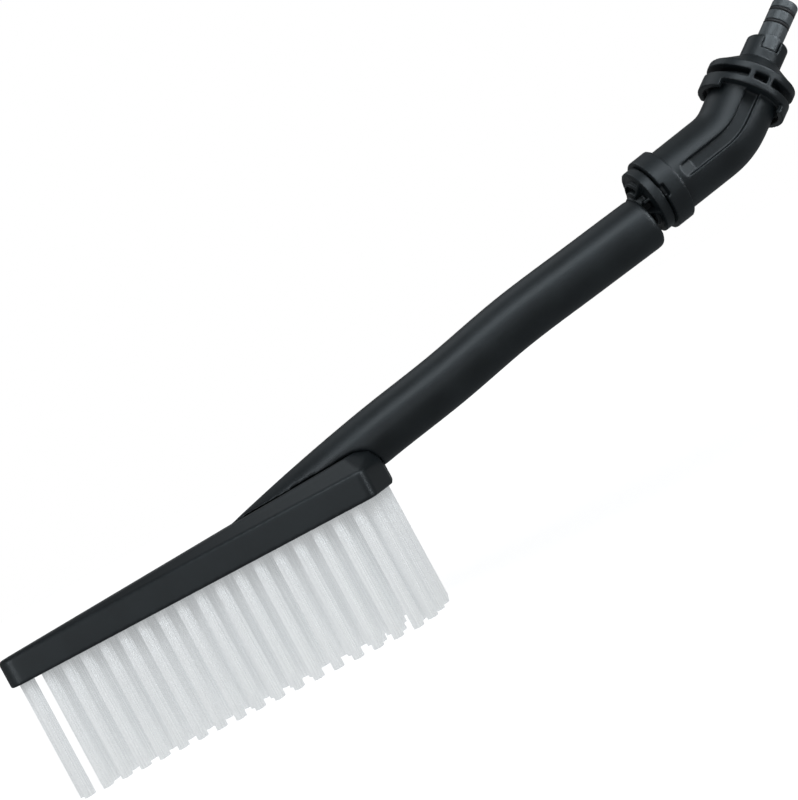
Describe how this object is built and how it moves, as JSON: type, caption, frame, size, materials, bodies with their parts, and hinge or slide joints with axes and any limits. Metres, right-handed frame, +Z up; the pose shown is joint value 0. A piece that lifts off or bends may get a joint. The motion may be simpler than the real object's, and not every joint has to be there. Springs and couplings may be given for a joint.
{
  "type": "feed-through wash brush",
  "caption": "Handheld wash brush: wedge-shaped bristle head on a hollow water-carrying handle, with a bayonet elbow and a hose plug at the far end.",
  "frame": {"origin": "end face of the bristle tuft under the middle of the head", "axes": "+X from the head's nose towards the inlet plug, +Z up with the bristles pointing down, Y across the brush"},
  "size_m": [0.4624, 0.067, 0.1694],
  "materials": {
    "black_plastic": "satin moulded polypropylene",
    "grey_plastic": "satin acetal",
    "bristle": "translucent white filament",
    "seal_rubber": "matt nitrile rubber",
    "stainless": "bright stainless steel"
  },
  "bodies": {
    "brush": {"head_block": "black_plastic", "bristle_plate": "black_plastic", "plate_gasket": "seal_rubber", "plate_screws": "stainless", "tufts_outer_left": "bristle", "tufts_outer_right": "bristle", "tufts_end_rim": "bristle", "tufts_centre": "bristle", "tufts_inner_left": "bristle", "tufts_inner_right": "bristle", "tufts_middle_left": "bristle", "tufts_middle_right": "bristle", "tuft_staples": "stainless", "handle_shell": "black_plastic", "handle_seal": "seal_rubber", "bayonet_spigot": "black_plastic", "stem_seal": "seal_rubber", "spigot_seal": "seal_rubber"},
    "elbow": {"elbow_body": "black_plastic", "inlet_plug": "grey_plastic", "plug_seal_outer": "seal_rubber", "plug_seal_inner": "seal_rubber", "plug_seat_washer": "seal_rubber", "plug_retaining_ring": "stainless"}
  },
  "joints": [
    {"name": "bayonet_twist", "type": "hinge", "parent": "brush", "child": "elbow", "pos_m": [0.25885, 0, 0.11626], "axis": [0.9851, 0, 0.1719], "range_deg": [0, 60]}
  ]
}
